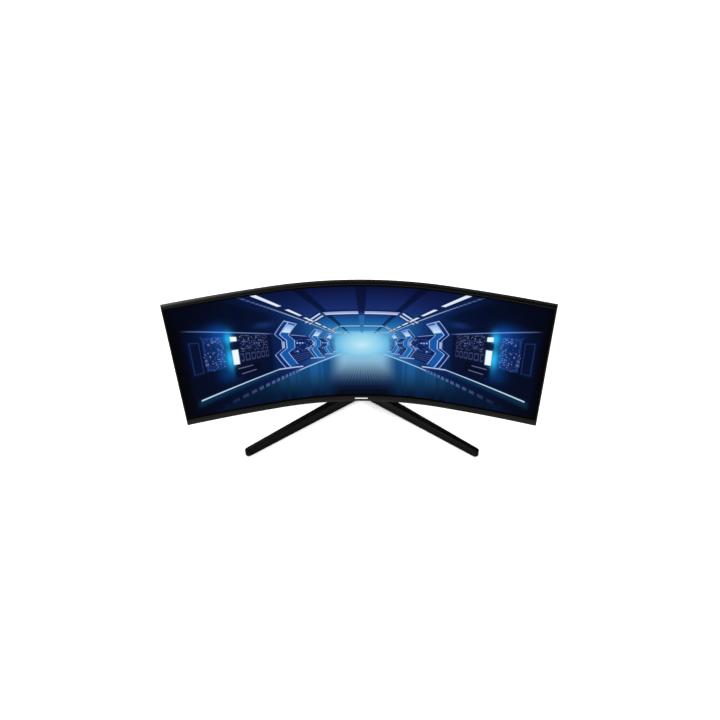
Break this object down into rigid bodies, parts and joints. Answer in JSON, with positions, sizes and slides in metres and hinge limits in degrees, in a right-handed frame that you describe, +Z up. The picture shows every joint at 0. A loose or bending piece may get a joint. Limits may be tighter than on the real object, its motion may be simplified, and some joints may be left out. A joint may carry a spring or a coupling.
{
  "type": "curved desktop monitor",
  "caption": "Curved ultrawide computer monitor on a V-shaped stand, with a tilting head, a stack of screen layers, rear sockets and a joystick button.",
  "frame": {"origin": "middle of the footprint, on the desk under the rubber feet", "axes": "+X to the viewer's right along the screen, +Y away from the viewer, +Z up; the screen faces -Y"},
  "size_m": [0.8048, 0.2724, 0.475],
  "materials": {
    "black_plastic": "fine matt moulded black",
    "rear_plastic": "textured matt black",
    "screen_face": "anti-glare screen face",
    "frame_plastic": "black moulded frame",
    "optical_film": "clear film",
    "light_guide": "clear acrylic",
    "steel": "zinc-plated steel",
    "dark_steel": "black steel",
    "aluminium": "plain aluminium",
    "circuit_board": "green solder mask",
    "ribbon": "amber film",
    "port_plastic": "black socket plastic",
    "port_shell": "nickel-plated shell",
    "rubber": "matt rubber",
    "badge_bar": "plain pale bar"
  },
  "bodies": {
    "stand": {"neck_bracket": "steel", "neck_core": "dark_steel", "neck_front_cover": "rear_plastic", "neck_rear_cover": "rear_plastic", "neck_foot": "dark_steel", "base_cover": "black_plastic", "base_plate": "steel", "base_screw": "steel", "rubber_foot_1": "rubber", "rubber_foot_2": "rubber", "rubber_foot_3": "rubber", "rubber_foot_4": "rubber", "friction_washer_left": "steel", "friction_washer_right": "steel"},
    "head": {"front_bezel": "black_plastic", "rear_cover": "rear_plastic", "hinge_cover": "rear_plastic", "lcd_panel": "screen_face", "panel_middle_frame": "frame_plastic", "jog_switch_housing": "frame_plastic", "prism_sheet": "optical_film", "diffuser_sheet": "optical_film", "reflector_sheet": "optical_film", "light_guide": "light_guide", "backlight_chassis": "steel", "board_shield": "steel", "mount_bracket": "steel", "tilt_shaft_left": "steel", "tilt_shaft_right": "steel", "hinge_nut_left": "steel", "hinge_nut_right": "steel", "mount_screw_1": "dark_steel", "mount_screw_2": "dark_steel", "mount_screw_3": "dark_steel", "mount_screw_4": "dark_steel", "head_bracket": "dark_steel", "led_bar": "aluminium", "heat_sink": "aluminium", "source_board": "circuit_board", "timing_board": "circuit_board", "main_board": "circuit_board", "jog_board": "circuit_board", "panel_ribbon_1": "ribbon", "panel_ribbon_2": "ribbon", "panel_ribbon_3": "ribbon", "panel_ribbon_4": "ribbon", "flat_cable": "ribbon", "dc_power_jack": "port_plastic", "headphone_jack": "port_plastic", "hdmi_port": "port_shell", "displayport_port": "port_shell", "badge_bar": "badge_bar"},
    "jog_gimbal": {"jog_gimbal": "aluminium"},
    "jog_stem": {"jog_stem": "steel"},
    "jog_button": {"jog_button": "black_plastic"}
  },
  "joints": [
    {"name": "head_tilt", "type": "hinge", "parent": "stand", "child": "head", "pos_m": [0, 0.0162, 0.292], "axis": [-1, 0, 0], "range_deg": [-2, 18]},
    {"name": "jog_up_down", "type": "hinge", "parent": "head", "child": "jog_gimbal", "pos_m": [0.27083, -0.07722, 0.187], "axis": [0.9703, -0.2421, 0], "range_deg": [-7, 7], "stiffness_Nm_per_rad": 0.05},
    {"name": "jog_left_right", "type": "hinge", "parent": "jog_gimbal", "child": "jog_stem", "pos_m": [0.27083, -0.07722, 0.187], "axis": [0, 0, 1], "range_deg": [-7, 7], "stiffness_Nm_per_rad": 0.05},
    {"name": "jog_press", "type": "slide", "parent": "jog_stem", "child": "jog_button", "axis": [-0.2421, -0.9703, 0], "range_m": [0, 0.0006], "stiffness_N_per_m": 1500}
  ]
}
